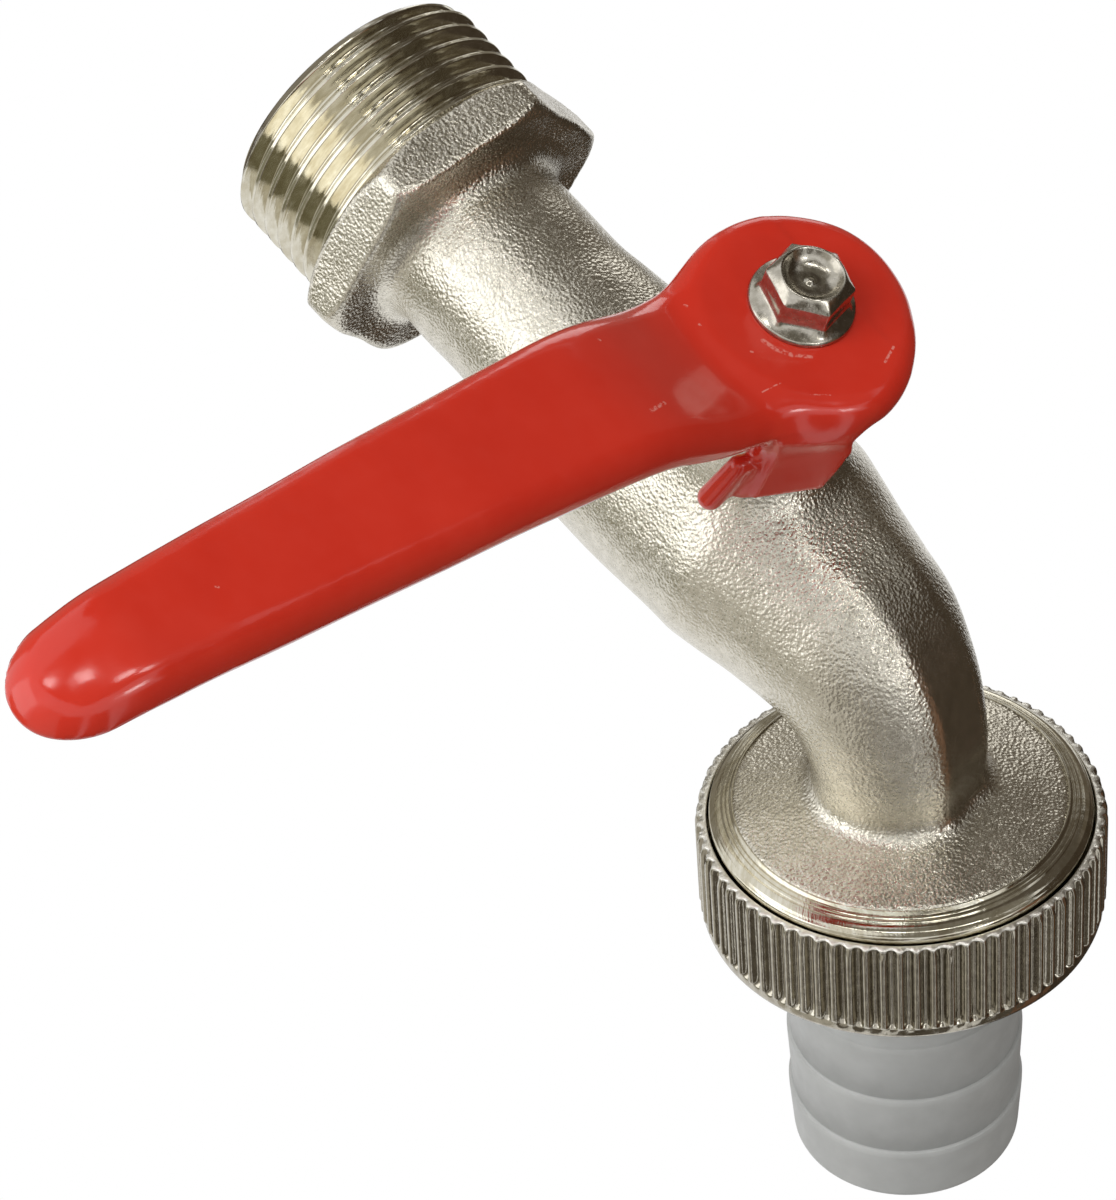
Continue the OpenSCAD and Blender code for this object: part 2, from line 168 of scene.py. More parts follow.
def slope_of(field, points, reach=0.02):
    """Gradient of a field at points, from the difference over a short reach each way."""
    slope = np.empty_like(points)
    for axis in range(3):
        shift = np.zeros(3)
        shift[axis] = reach
        slope[:, axis] = (field(points + shift) - field(points - shift)) / (2 * reach)
    return slope


def settle(field, points, step, rounds=3):
    """Slides points along the slope by depth / slope, by at most half a step a round."""
    for _ in range(rounds):
        slope = slope_of(field, points)
        steep = np.maximum((slope ** 2).sum(1), 0.1)
        move = -slope * (field(points) / steep)[:, None]
        length = np.maximum(np.linalg.norm(move, axis=1), 1e-9)
        points = points + move * np.minimum(1, 0.5 * step / length)[:, None]
    return points


def net_over(field, low, high, step):
    """Points and quads of the surface where the field is zero, inside the box low to high."""
    low = np.array(low, float)
    counts = np.ceil((np.array(high) - low) / step).astype(int) + 1
    axes = [low[a] + step * np.arange(counts[a]) for a in range(3)]
    lattice = np.stack(np.meshgrid(*axes, indexing="ij"), -1).reshape(-1, 3)
    depth = np.concatenate([field(part) for part in np.array_split(lattice, 12)]).reshape(counts)
    inside = depth < 0
    cubes = counts - 1
    full = sum(inside[i:i + cubes[0], j:j + cubes[1], k:k + cubes[2]].astype(np.int8)
               for i, j, k in CUBE_CORNERS)
    active = np.argwhere((full > 0) & (full < 8))
    corner = active[:, None, :] + CUBE_CORNERS
    value = depth[corner[..., 0], corner[..., 1], corner[..., 2]]
    a, b = value[:, CUBE_EDGES[:, 0]], value[:, CUBE_EDGES[:, 1]]
    crossed = (a < 0) != (b < 0)
    share = np.where(crossed, a / np.where(crossed, a - b, 1), 0)
    start, end = CUBE_CORNERS[CUBE_EDGES[:, 0]], CUBE_CORNERS[CUBE_EDGES[:, 1]]
    place = start + share[..., None] * (end - start)
    mean = (place * crossed[..., None]).sum(1) / crossed.sum(1)[:, None]
    points = low + step * (active + mean)
    number = np.full(cubes, -1)
    number[tuple(active.T)] = np.arange(len(active))
    quads = []
    for axis in range(3):
        u, v = (axis + 1) % 3, (axis + 2) % 3
        first = [slice(None)] * 3
        second = [slice(None)] * 3
        first[axis], second[axis] = slice(0, -1), slice(1, None)
        edge = np.argwhere(inside[tuple(first)] != inside[tuple(second)])
        edge = edge[(edge[:, u] > 0) & (edge[:, v] > 0) & (edge[:, u] < cubes[u])
                    & (edge[:, v] < cubes[v])]
        ring = []
        for du, dv in ((1, 1), (0, 1), (0, 0), (1, 0)):
            cell = edge.copy()
            cell[:, u] -= du
            cell[:, v] -= dv
            ring.append(number[tuple(cell.T)])
        quad = np.stack(ring, 1)
        out = inside[tuple(edge.T)]
        quads.append(np.where(out[:, None], quad, quad[:, ::-1]))
    return settle(field, points, step), np.concatenate(quads)


# %% [markdown]
# ## Joining forms
# A forging has no sharp inner corner: metal flows round each joint in a fillet. The smooth minimum
# of two fields does the same. Where the two depths differ by less than k, it takes a little more
# metal than either, and the skin bends over from one form to the other.

# %% Blends of fields
def blend_in(a, b, k):
    """Union with a fillet: minimum of a and b, less k/4 times (1 - |a - b|/k) squared."""
    h = np.maximum(k - np.abs(a - b), 0) / k
    return np.minimum(a, b) - h * h * k / 4


def blend_cut(a, b, k):
    """Common part with a rounded edge: the same blend turned inside out."""
    return -blend_in(-a, -b, k)


def rounded(a, b, radius):
    """Distance outside two walls at right angles that meet in an edge of this radius."""
    a, b = a + radius, b + radius
    return np.hypot(np.maximum(a, 0), np.maximum(b, 0)) + np.minimum(np.maximum(a, b), 0) - radius


def ease(t):
    """Smooth step from 0 to 1, which is three times t squared less twice t cubed."""
    t = np.clip(t, 0, 1)
    return t * t * (3 - 2 * t)


def smooth_table(knots, reach):
    """Turns a short list of (place, value) pairs into a function with its corners eased: straight
    lines between the pairs, then a running mean over the reach, taken twice."""
    knots = np.array(knots, float)
    fine = np.arange(knots[0, 0] - 2 * reach, knots[-1, 0] + 2 * reach, 0.1)
    value = np.interp(fine, knots[:, 0], knots[:, 1])
    width = max(1, int(reach / 0.1))
    kernel = np.ones(width) / width
    for _ in range(2):
        value = np.convolve(np.pad(value, width, "edge"), kernel, "same")[width:-width]
    return lambda t: np.interp(t, fine, value)


def unevenness(points, amount, wave, seed):
    """Slow hills and hollows of a hand-fed process: the mean of eight sine waves in random
    directions, each with a random phase, times the amount."""
    random = np.random.default_rng(seed)
    total = 0
    for _ in range(8):
        way = random.normal(size=3)
        way = way / np.linalg.norm(way) * 2 * math.pi / (wave * random.uniform(0.7, 1.5))
        total = total + np.sin(points @ way + random.uniform(0, 2 * math.pi))
    return amount * total / 4


# %% [markdown]
# ## The forged body
# The real body is one hot brass forging: two dies close on it in the plane of the stem, and the flash
# is then dressed off, which leaves a flat land along the outside of the elbow. The barrel is round
# with a swelling for the ball, the elbow is a bent round section that thins towards the spout, and
# the hexagon and the outlet disc run into them with fillets. The field is measured in the tap's own
# terms: s runs along the waterway and u points out of the bend.

# %% Sizes of the body, in millimetres
INLET_R = 13.22
THREAD_LEN = 11.8
STEM_X = 50.5
ELBOW_X = 73.7
TILT = math.radians(22.5)
BEND = math.pi / 2 - TILT
ELBOW_R = 10.5
BEND_RUN = ELBOW_R * math.tan(BEND / 2)
BEND_X = ELBOW_X - BEND_RUN
BOSS_S = 12.3
BOSS_LEN = 5.7
OUTLET_R = 16.6
BLASTED_R = 14.55
DISC_DROP = 0.8
DISC_SLOPE = 0.22
DISC_EVEN = 0.97  # turns a height above the disc's cone into a distance from it
OUTLET_AXIS = np.array([math.sin(TILT), 0, -math.cos(TILT)])
OUTLET_SIDE = np.array([math.cos(TILT), 0, math.sin(TILT)])
CROSSING = np.array([ELBOW_X, 0, 0])

# Radius and outward shift of the run, and width, edge and turn of the dressed land, over s.
forging_r = smooth_table([(10, 9.05), (28, 9.05), (35, 10.0), (41, 11.25), (47, 11.05), (52, 11.15),
                          (56, 11.35), (59, 10.75), (62, 10.05), (66.7, 9.35), (72, 8.45), (76, 7.85),
                          (80, 7.5), (90, 7.4)], 1.6)
forging_step = smooth_table([(40, 0), (48, 0.1), (53.5, 1.1), (57, 1.4), (66, 1.4), (71, 0.6), (76, -0.2),
                             (90, -0.3)], 2.0)
land_half = smooth_table([(48, 0), (54, 2.0), (60, 2.9), (74, 2.75), (90, 2.65)], 2.0)
land_edge = smooth_table([(50, 1.4), (60, 0.7), (68, 0.25), (90, 0.15)], 2.0)
land_turn = smooth_table([(50, 0), (64, 0), (74, 0.2), (90, 0.21)], 2.0)
print("the bend starts at x", round(BEND_X, 1), "and is", round(ELBOW_R * BEND, 1), "mm long")


def waterway_terms(p):
    """s along the bent waterway, u outwards from it in the plane of the stem, v across."""
    x, y, z = p[:, 0], p[:, 1], p[:, 2]
    a = np.clip(np.arctan2(x - BEND_X, z + ELBOW_R), 0, BEND)
    sin, cos = np.sin(a), np.cos(a)
    cx, cz = BEND_X + ELBOW_R * sin, ELBOW_R * (cos - 1)
    along = (x - cx) * cos - (z - cz) * sin
    out = (x - cx) * sin + (z - cz) * cos
    return BEND_X + ELBOW_R * a + along, out, y


def outlet_terms(p):
    """Distance along the outlet axis from the crossing, and distance from that axis."""
    q = p - CROSSING
    along = q @ OUTLET_AXIS
    return along, np.hypot(q @ OUTLET_SIDE, q[:, 1])


# %% Forms of the body
HEX_FLAT = 13.55
HEX_T = 4.7
HEX_TURN = math.radians(10.5)
HEX_EDGE = 0.6
CONE_START, BACK_START = 0.35, 1.3
CONE_RISE = 1.35
CONE_EVEN = 0.6  # turns a radius beyond the cone into a distance from it
BOSS_R = 7.1
BOSS_TOP = 20.8


def land_depth(s, u, v):
    """Distance above the dressed land: a flat at the depth where it is 2 land_half wide, turned
    a little from the plane of the stem towards the spout."""
    flat = np.sqrt(np.maximum(forging_r(s) ** 2 - land_half(s) ** 2, 1))
    return u * np.cos(land_turn(s)) + v * np.sin(land_turn(s)) - flat


def round_run(p):
    """Barrel, elbow and spout: distance from the bent centre line less the radius there, cut
    by the dressed land on the outside."""
    s, u, v = waterway_terms(p)
    r = forging_r(s)
    u = u - forging_step(s)
    skin = np.hypot(u, v) - r
    skin = blend_cut(skin, land_depth(s, u, v), land_edge(s))
    end = BEND_X + ELBOW_R * BEND + (BOSS_S + 1 - BEND_RUN)
    return np.maximum(np.maximum(skin, THREAD_LEN + 1 - s), s - end)


def hexagon(p):
    """Largest of the three distances to opposite flats, between two faces, with a cone turned
    on both sides."""
    x, y, z = p[:, 0], p[:, 1], p[:, 2]
    sides = [np.abs(y * math.cos(HEX_TURN + i * math.pi / 3 + math.pi / 6)
                    + z * math.sin(HEX_TURN + i * math.pi / 3 + math.pi / 6)) - HEX_FLAT
             for i in range(3)]
    wall = blend_cut(blend_cut(sides[0], sides[1], HEX_EDGE), sides[2], HEX_EDGE)
    away = np.hypot(y, z) - INLET_R
    cone = (away - CONE_START - CONE_RISE * (x - THREAD_LEN)) * CONE_EVEN
    back = (away - BACK_START - CONE_RISE * (THREAD_LEN + HEX_T - x)) * CONE_EVEN
    slab = np.abs(x - THREAD_LEN - HEX_T / 2) - HEX_T / 2
    return blend_cut(blend_cut(blend_cut(wall, slab, 0.45), cone, 0.3), back, 0.4)


def outlet_disc(p):
    """Disc whose blasted top falls away from the spout as a shallow cone."""
    along, away = outlet_terms(p)
    top = BOSS_S - DISC_DROP + DISC_SLOPE * (away - BLASTED_R) - along
    slab = np.maximum(top * DISC_EVEN, along - BOSS_S - BOSS_LEN)
    return blend_cut(away - BLASTED_R, slab, 0.25)


def stem_boss(p):
    """Upright round boss from the barrel to its top face."""
    wall = np.hypot(p[:, 0] - STEM_X, p[:, 1]) - BOSS_R
    return blend_cut(wall, np.abs(p[:, 2] - BOSS_TOP / 2) - BOSS_TOP / 2, 0.6)


# %% Bores of the body
MOUTH_R = 10.0
POCKET_R = 7.75
POCKET_X = 15.6
SHOULDER_X = 58.2
WAY_R = 5.5
MOUTH_CONE = 2.3
RECESS_R, RECESS_DEEP = 11.0, 2.6
GLAND_R = 6.05
GLAND_Z = 15.2
PACKING_R = 5.3
PACKING_Z = 9.6
SHANK_R = 4.05


def bores(p):
    """Everything that is drilled out: mouth, ball pocket, bent waterway and stem bore."""
    x, y, z = p[:, 0], p[:, 1], p[:, 2]
    ring = np.hypot(y, z)
    mouth = np.maximum(ring - MOUTH_R - np.minimum(POCKET_X - MOUTH_CONE - x, 0), x - POCKET_X)
    pocket = np.maximum(ring - POCKET_R, x - SHOULDER_X)
    s, u, v = waterway_terms(p)
    way = np.maximum(np.hypot(u, v) - WAY_R, SHOULDER_X - 1 - s)
    along, away = outlet_terms(p)
    recess = np.maximum(away - RECESS_R, BOSS_S + RECESS_DEEP - along)
    stem = np.hypot(x - STEM_X, y)
    gland = np.maximum(stem - GLAND_R, GLAND_Z - z)
    packing = np.maximum(stem - PACKING_R, PACKING_Z - z)
    shank = np.maximum(stem - SHANK_R, -z)
    return np.minimum.reduce([mouth, pocket, way, recess, gland, packing, shank])


BOSS_FILLET, HEX_FILLET, DISC_FILLET = 3.5, 2.4, 1.5


def forged_body(p):
    """The whole forging: forms joined with fillets, a little unevenness, less the bores."""
    skin = blend_in(round_run(p), stem_boss(p), BOSS_FILLET)
    skin = blend_in(skin, hexagon(p), HEX_FILLET)
    skin = blend_in(skin, outlet_disc(p), DISC_FILLET)
    skin = skin + unevenness(p, 0.07, 7.0, 4)
    return np.maximum(skin, -bores(p))


BODY_STEP = 0.38
points, quads = net_over(forged_body, (THREAD_LEN - 0.9, -17, -25), (97, 17, 22), BODY_STEP)
forging = mesh_object("tap_forging", points, quads)


def dressed_share(points):
    """1 where a point lies on the dressed land, 0 elsewhere."""
    s, u, v = waterway_terms(points)
    near = 1 - np.clip((np.abs(land_depth(s, u - forging_step(s), v)) - 0.1) / 0.15, 0, 1)
    return near * np.clip((s - 66) / 8, 0, 1) * (np.abs(v) < 4)


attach(forging, "body")
report(forging)
store(forging, "dressed", dressed_share)

# %% [markdown]
# ## Threads
# A thread is one groove wound round a cylinder. Its surface is a strip that is one pitch wide and
# follows the helix, so the crests are never cut across by the grid. Turn after turn of the strip
# share their edges. The flanks are straight and steep as a die cuts them, and a chamfer leads in.

# %% Threaded sleeve
CREST_END, ROOT_START = 0.09, 0.43
THREAD_STEPS = np.array([0, 0.035, 0.06, 0.08, 0.1, 0.13, 0.2, 0.3, 0.38, 0.42, 0.45, 0.5, 0.55, 0.58,
                         0.62, 0.7, 0.8, 0.87, 0.9, 0.92, 0.94, 0.965])


def thread_r(x, phase, length, major, depth, chamfer, run_out):
    """Radius: crest, straight flank and root over half a pitch, cut by a 45 degree chamfer at the
    start, and filled up again over the run-out at the end."""
    fall = np.clip((np.abs(phase - np.round(phase)) - CREST_END) / (ROOT_START - CREST_END), 0, 1)
    fall = fall + 0.05 * np.sin(2 * math.pi * fall)
    r = np.minimum(major - depth * fall, major - chamfer + x)
    fade = ease((x - (length - run_out)) / run_out)
    return r + (major - 0.02 - r) * fade


def thread_points(length, pitch, major, depth, chamfer, run_out, around):
    """Helical strip: the angle runs on for the whole thread, x is pitch times turns plus the place
    across the strip. Points past either end are held there, where they fall together."""
    across = len(THREAD_STEPS)
    turns = int(math.ceil(length / pitch)) + 1
    i, k = np.meshgrid(np.arange(turns * around + 1), np.arange(across), indexing="ij")
    x = np.clip(pitch * (i / around - 1 + THREAD_STEPS[k]), 0, length)
    angle = 2 * math.pi * i / around
    r = thread_r(x, x / pitch - i / around, length, major, depth, chamfer, run_out)
    points = np.stack([x, r * np.cos(angle), r * np.sin(angle)], -1)
    return points.reshape(-1, 3), thread_faces(turns, around, across)


def thread_faces(turns, around, across):
    """Quads of the helical strip: the last column of one turn meets the first of the next."""
    i, k = np.meshgrid(np.arange(turns * around), np.arange(across), indexing="ij")
    i, k = i.ravel(), k.ravel()
    last = k == across - 1

    def number(row, column_next):
        row = np.where(column_next & last, row + around, row)
        column = np.where(column_next, np.where(last, 0, k + 1), k)
        return row * across + column

    quads = np.stack([number(i, np.zeros_like(last)), number(i + 1, np.zeros_like(last)),
                      number(i + 1, np.ones_like(last)), number(i, np.ones_like(last))], 1)
    limit = (turns * around + 1) * across
    return quads[(quads < limit).all(1)]


def lathe(outline, around):
    """Points of an outline of (length, radius) pairs turned about the first axis, at evenly spaced
    angles or at the angles given."""
    outline = np.array(outline, float)
    angle = np.arange(around) * 2 * math.pi / around if np.isscalar(around) else around
    x = np.repeat(outline[:, 0][:, None], len(angle), 1)
    r = outline[:, 1][:, None]
    points = np.stack([x, r * np.cos(angle), r * np.sin(angle)], -1)
    return points.reshape(-1, 3)


def onto_outlet(points):
    """Turns points drawn along X onto the outlet axis, with zero at the crossing."""
    points = np.asarray(points)
    across = np.array([0, 1, 0])
    return (CROSSING + points[:, :1] * OUTLET_AXIS + points[:, 1:2] * across
            + points[:, 2:3] * OUTLET_SIDE)


def joined(parts):
    """One array of points and one of quads from several pairs of them."""
    offset, all_points, all_faces = 0, [], []
    for points, faces in parts:
        all_points.append(points)
        all_faces.append(faces + offset)
        offset += len(points)
    return np.concatenate(all_points), np.concatenate(all_faces)


# %% Inlet thread
INLET_PITCH = 1.814
INLET_DEPTH = 1.1
INLET_CHAMFER = 1.0
INLET_RUN_OUT = 1.3
INLET_END = THREAD_LEN + 0.7
AROUND = 240
outside = thread_points(INLET_END, INLET_PITCH, INLET_R, INLET_DEPTH, INLET_CHAMFER, INLET_RUN_OUT,
                        AROUND)
mouth_outline = [(0, INLET_R - INLET_CHAMFER), (0, MOUTH_R + 0.5), (0.5, MOUTH_R), (INLET_END, MOUTH_R),
                 (INLET_END, INLET_R - 0.02)]
mouth = lathe(mouth_outline, AROUND), grid_faces(len(mouth_outline), AROUND)
inlet = mesh_object("tap_inlet_thread", *joined([outside, mouth]))
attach(inlet, "body")
report(inlet)

# %% [markdown]
# ## Outlet rim
# The outlet disc is blasted on top, but its rim is turned, and the tool has left steps and rings on
# the slope up to the edge. So the rim is a piece of its own, a profile turned about the outlet axis,
# with a finish of its own. The thread below it only shows when the union nut is screwed down.

# %% Outlet rim and thread
OUTLET_PITCH = 2.309
OUTLET_CHAMFER = 0.75
OUTLET_DEPTH, OUTLET_RUN_OUT = 1.2, 0.8
RIM_AROUND = 288
RIM_LEN = 1.5
RIM_WIDE = 2.9
RIM_SHAPE = [  # height below the disc's level, distance out from the rim's radius
    (0.3, -RIM_WIDE), (-0.74, -2.2), (-0.86, -2.08), (-0.8, -1.95), (-0.56, -1.86), (-0.5, -1.74),
    (-0.56, -1.64), (-0.44, -1.5), (-0.38, -1.36), (-0.44, -1.26), (-0.26, -1.12), (-0.2, -1.0),
    (-0.22, -0.94), (0.1, -0.46), (0.14, -0.36), (0.3, -0.28), (0.34, -0.16), (0.5, -0.03),
    (0.7, 0), (1.35, 0), (RIM_LEN, -0.02)]
rim_outline = [(BOSS_S + s, OUTLET_R + r) for s, r in RIM_SHAPE]
rim_inside = [(BOSS_S + BOSS_LEN, OUTLET_R - OUTLET_CHAMFER), (BOSS_S + BOSS_LEN, OUTLET_R - RIM_WIDE),
              (BOSS_S + 0.3, OUTLET_R - RIM_WIDE)]
skirt_points, skirt_faces = thread_points(BOSS_LEN - RIM_LEN, OUTLET_PITCH, OUTLET_R, OUTLET_DEPTH,
                                          OUTLET_CHAMFER, OUTLET_RUN_OUT, RIM_AROUND)
skirt_points[:, 0] = BOSS_S + BOSS_LEN - skirt_points[:, 0]
shell = [(lathe(outline, RIM_AROUND), grid_faces(len(outline), RIM_AROUND))
         for outline in (rim_outline, rim_inside)]
rim_points, rim_faces = joined(shell + [(skirt_points, skirt_faces)])
rim = mesh_object("tap_outlet_rim", onto_outlet(rim_points), rim_faces)
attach(rim, "body")
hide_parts("tap_body")
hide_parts("tap_body")
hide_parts("tap_body")
report(rim)

# %% [markdown]
# ## Union nut
# The nut's grip is a straight knurl: a wheel with teeth was rolled along the blank, so the ridges are
# all alike and run the whole height, and their ends are torn where the wheel left the metal. The
# surface is a radius over angle and height: one tooth's shape, repeated round the nut, times a mask
# that fades at the torn top edge and ends at the plain lip. Outside and bore are one closed grid.

# %% Knurled nut
NUT_S = BOSS_S + 0.95
NUT_H = 10.3
NUT_R = 17.85
KNURLS = 77
KNURL_DEPTH = 0.72
NUT_LIP = 1.05
KNURL_SHAPE = [  # place across one tooth, share of the full height
    (0, 1), (0.1, 1), (0.2, 0.9), (0.27, 0.62), (0.4, 0.12), (0.5, 0), (0.6, 0.03), (0.7, 0.14),
    (0.82, 0.55), (0.9, 0.93)]


def nut_outside():
    """Radius: the nut's own, less the inset of its edges, less the knurl's depth where the tooth is
    low. The teeth are crushed unevenly near the top edge, and the edge itself is ragged."""
    per = len(KNURL_SHAPE)
    place, tooth = np.array(KNURL_SHAPE).T
    angle = ((np.arange(KNURLS)[:, None] + place) * 2 * math.pi / KNURLS).ravel()
    tooth = np.tile(tooth, KNURLS)
    foot = NUT_H - NUT_LIP
    s, inset, band = np.array([  # depth below the top, inset, share of the knurl's depth
        (0, 0.3, 0.3), (0.05, 0.25, 0.4), (0.15, 0.17, 0.7), (0.3, 0.1, 0.95), (0.5, 0.04, 1),
        (0.75, 0, 1), (1, 0, 1), (2, 0, 1), (4, 0, 1), (6, 0, 1), (8, 0, 1), (foot - 0.35, 0, 1),
        (foot - 0.15, 0.03, 0.75), (foot, 0.2, 0.1), (foot + 0.1, 0.22, 0), (NUT_H - 0.35, 0.22, 0),
        (NUT_H - 0.1, 0.3, 0), (NUT_H, 0.5, 0)]).T
    random = np.random.default_rng(7)
    torn = np.abs(np.repeat(random.normal(0, 0.1, KNURLS), per))
    uneven = np.repeat(random.normal(0, 0.03, KNURLS), per)
    near_edge = np.exp(-((s - 0.5) / 0.4) ** 2)
    r = NUT_R - inset[:, None] - KNURL_DEPTH * band[:, None] * (1 - tooth)
    r = r - (torn * near_edge[:, None] + np.abs(uneven) * band[:, None]) * tooth
    ragged = random.normal(0, 0.06, len(angle)) * np.exp(-(s[:, None] / 0.25) ** 2)
    x = np.repeat((NUT_S + s)[:, None], len(angle), 1) + np.abs(ragged)
    return np.stack([x, r * np.cos(angle), r * np.sin(angle)], -1).reshape(-1, 3), len(s), angle


outer, rows, nut_angle = nut_outside()
bore = OUTLET_R + 0.12
NUT_HOLE_R, NUT_FLOOR = 10.9, 1.5
nut_end = NUT_S + NUT_H
nut_inner = [(nut_end, NUT_HOLE_R + 0.05), (nut_end - 0.3, NUT_HOLE_R), (nut_end - NUT_FLOOR, NUT_HOLE_R),
             (nut_end - NUT_FLOOR, bore), (NUT_S + 0.25, bore), (NUT_S + 0.03, bore + 0.13),
             (NUT_S, bore + 0.18)]
nut_points = np.concatenate([outer, lathe(nut_inner, nut_angle)])
nut_faces = grid_faces(rows + len(nut_inner), len(nut_angle), wrap_rows=True)
nut = mesh_object("union_nut", onto_outlet(nut_points), nut_faces)
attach(nut, "nut")
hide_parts("coupling_nut")
report(nut)
# the torn mask marks the nut's top edge: real ragged relief, and the painted highlight of the knurl finish
store(nut, "torn", lambda points: np.clip((NUT_S + 0.24 - outlet_terms(points)[0]) / 0.16, 0, 1))

# %% [markdown]
# ## Hose tail
# A turned tube. Each barb is a long shallow cone that ends in a small step, so a hose slides on and
# is held. The profile lists the steps from the end upwards, and is turned about the outlet axis.

# %% Hose tail
TAIL_END = 52.1
TAIL_R = 10.6
BARB = 6.67
BARB_RISE = 0.33
TAIL_BORE_R = 7.6
TAIL_ROUND = 1.1
TAIL_AROUND = 160
GASKET_S = BOSS_S + BOSS_LEN


def tail_outline():
    """Profile from the flange down to the end: plain neck, three barbs, rounded end, bore."""
    root = TAIL_R - BARB_RISE
    flange_top, flange_low = GASKET_S + 2, nut_end - NUT_FLOOR
    first = TAIL_END - 3 * BARB + 0.2
    outline = [(flange_top, TAIL_BORE_R), (flange_top, OUTLET_R - 0.7), (flange_low, OUTLET_R - 0.7),
               (flange_low, root), (first - 0.02, root)]
    for i in range(3):
        top = first + i * BARB
        outline += [(top + 0.02, TAIL_R - 0.08), (top + 0.1, TAIL_R), (top + 0.8, TAIL_R - 0.02)]
        if i < 2:
            outline += [(top + BARB - 0.06, root + 0.02), (top + BARB - 0.02, root - 0.04)]
    angle = np.linspace(0, math.pi / 2, 7)
    outline += [(TAIL_END - TAIL_ROUND + TAIL_ROUND * math.sin(a),
                 root - TAIL_ROUND + TAIL_ROUND * math.cos(a)) for a in angle]
    outline += [(TAIL_END, TAIL_BORE_R + 0.5), (TAIL_END - 0.12, TAIL_BORE_R + 0.2),
                (TAIL_END - 0.5, TAIL_BORE_R)]
    return outline


outline = tail_outline()
tail = mesh_object("hose_tail_turned", onto_outlet(lathe(outline, TAIL_AROUND)),
                   grid_faces(len(outline), TAIL_AROUND, wrap_rows=True))
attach(tail, "union")
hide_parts("hose_tail")
report(tail)

# %% [markdown]
# ## Lever
# The real lever is a pressed steel bar: a round head, a crank that lifts the bar over the barrel, and
# a tab folded down at the head's edge as a stop. It is then dipped in hot red vinyl, which rounds
# every edge and fills every corner, and hangs in a bead along the tab's free edge. A field suits it,
# because the dip is a blend. In the tables, l runs from the stem to the tip, heights are above the
# inlet axis, and the head's radius goes over the angle, because the dip is thicker at its sides.

# %% Sizes of the lever
HEAD_Z = 27.0
HEAD_HALF = 2.0
HEAD_EDGE = 1.85
BAR_EDGE = 2.35
TIP_L = 80.6
TIP_ROUND = 5.2
KEY_HALF = 3.05
TAB_TURN = math.radians(-26)
bar_height = smooth_table([(-12, 27), (7, 27), (11, 27.35), (14, 28.45), (17, 30.1), (20, 31.75),
                           (23, 32.85), (26, 33.55), (30, 34.3), (40, 36.05), (50, 37.6), (60, 39.1),
                           (66, 40.0), (72, 40.6), (76, 40.35), (80, 39.7), (82, 39.3)], 3.0)
bar_half = smooth_table([(-12, 8.2), (2, 8.2), (9, 7.95), (14, 7.62), (20, 7.25), (28, 6.87), (75, 5.05),
                         (84, 4.8)], 2.0)
bar_thick = smooth_table([(-12, 0.6), (4, 0.6), (8.5, 1.75), (12, 2.15), (16, 2.35), (24, 2.5), (68, 2.5),
                          (72, 2.7), (76, 2.5), (80, 1.9), (82, 1.7)], 2.5)
bar_crown = smooth_table([(-12, 0), (24, 0.1), (60, 0.2), (70, 0.5), (78, 1.3), (84, 1.5)], 3.0)
head_r = smooth_table([(-200, 9.7), (-75, 9.9), (-60, 10.1), (-48, 10.5), (-26, 11.0), (-10, 11.3),
                       (0, 11.2), (10, 10.9), (30, 10.3), (55, 9.85), (79, 9.85), (100, 10.0),
                       (115, 10.0), (135, 9.75), (200, 9.7)], 6)
BAR_PLACES = np.arange(-14, 84, 0.5)
BAR_LEAN = np.gradient(bar_height(BAR_PLACES), 0.5)
print("the bar rises", round(bar_height(TIP_L) - HEAD_Z, 1), "mm over", TIP_L, "mm")


def lever_bar(p):
    """Rounded bar: distance beyond its half width and half thickness, with a round end. Towards
    the tip it is crowned: it thins by the square of the distance from its middle."""
    x, l, z = p[:, 0] - STEM_X, -p[:, 1], p[:, 2]
    half, thick = bar_half(l), bar_thick(l)
    slant = 1 / np.sqrt(1 + np.interp(l, BAR_PLACES, BAR_LEAN) ** 2)
    beyond = np.maximum(l - (TIP_L - TIP_ROUND), 0)
    width = np.hypot(x, beyond * half / TIP_ROUND) - half
    crown = bar_crown(l) * np.minimum((x / half) ** 2, 1)
    height = np.abs(z - bar_height(l)) * slant - thick + crown
    return np.maximum(rounded(width, height, BAR_EDGE), -l - 2)


def lever_head(p):
    """Disc whose radius follows head_r over the angle in degrees, with rounded edges."""
    x, y, z = p[:, 0] - STEM_X, p[:, 1], p[:, 2]
    wall = np.hypot(x, y) - head_r(np.degrees(np.arctan2(y, x)))
    return rounded(wall, np.abs(z - HEAD_Z) - HEAD_HALF, HEAD_EDGE)


# Corners of the tab and of its panel, as (across, height), and the ends of the hanging bead.
TAB_CORNERS = [(-6.6, 17.2), (-5.4, 26.4), (2.0, 26.3), (3.1, 24.1), (1.6, 17.9)]
PANEL_CORNERS = [(-4.9, 18.3), (-4.3, 26.2), (1.6, 25.3), (2.6, 23.6), (1.2, 18.6)]
FINGER = np.array([(10.35, -6.75, 22.2), (10.1, -7.9, 17.4)])
FINGER_R, FINGER_SWELL = 0.85, 0.2
TAB_SHEET = 9.85, 1.15, 1.4  # middle of the plate, half its thickness, softness of its edges
PANEL_SHEET = 10.0, 1.25, 0.35


def plate(out, across, z, corners, middle, half, soft):
    """Plate between two faces, bounded by the straight lines from corner to corner, its edges
    rounded by the softness."""
    skin = np.abs(out - middle) - half
    for (wa, za), (wb, zb) in zip(corners, corners[1:] + corners[:1]):
        length = math.hypot(wb - wa, zb - za)
        skin = blend_cut(skin, ((across - wa) * (za - zb) + (z - za) * (wb - wa)) / length, soft)
    return skin


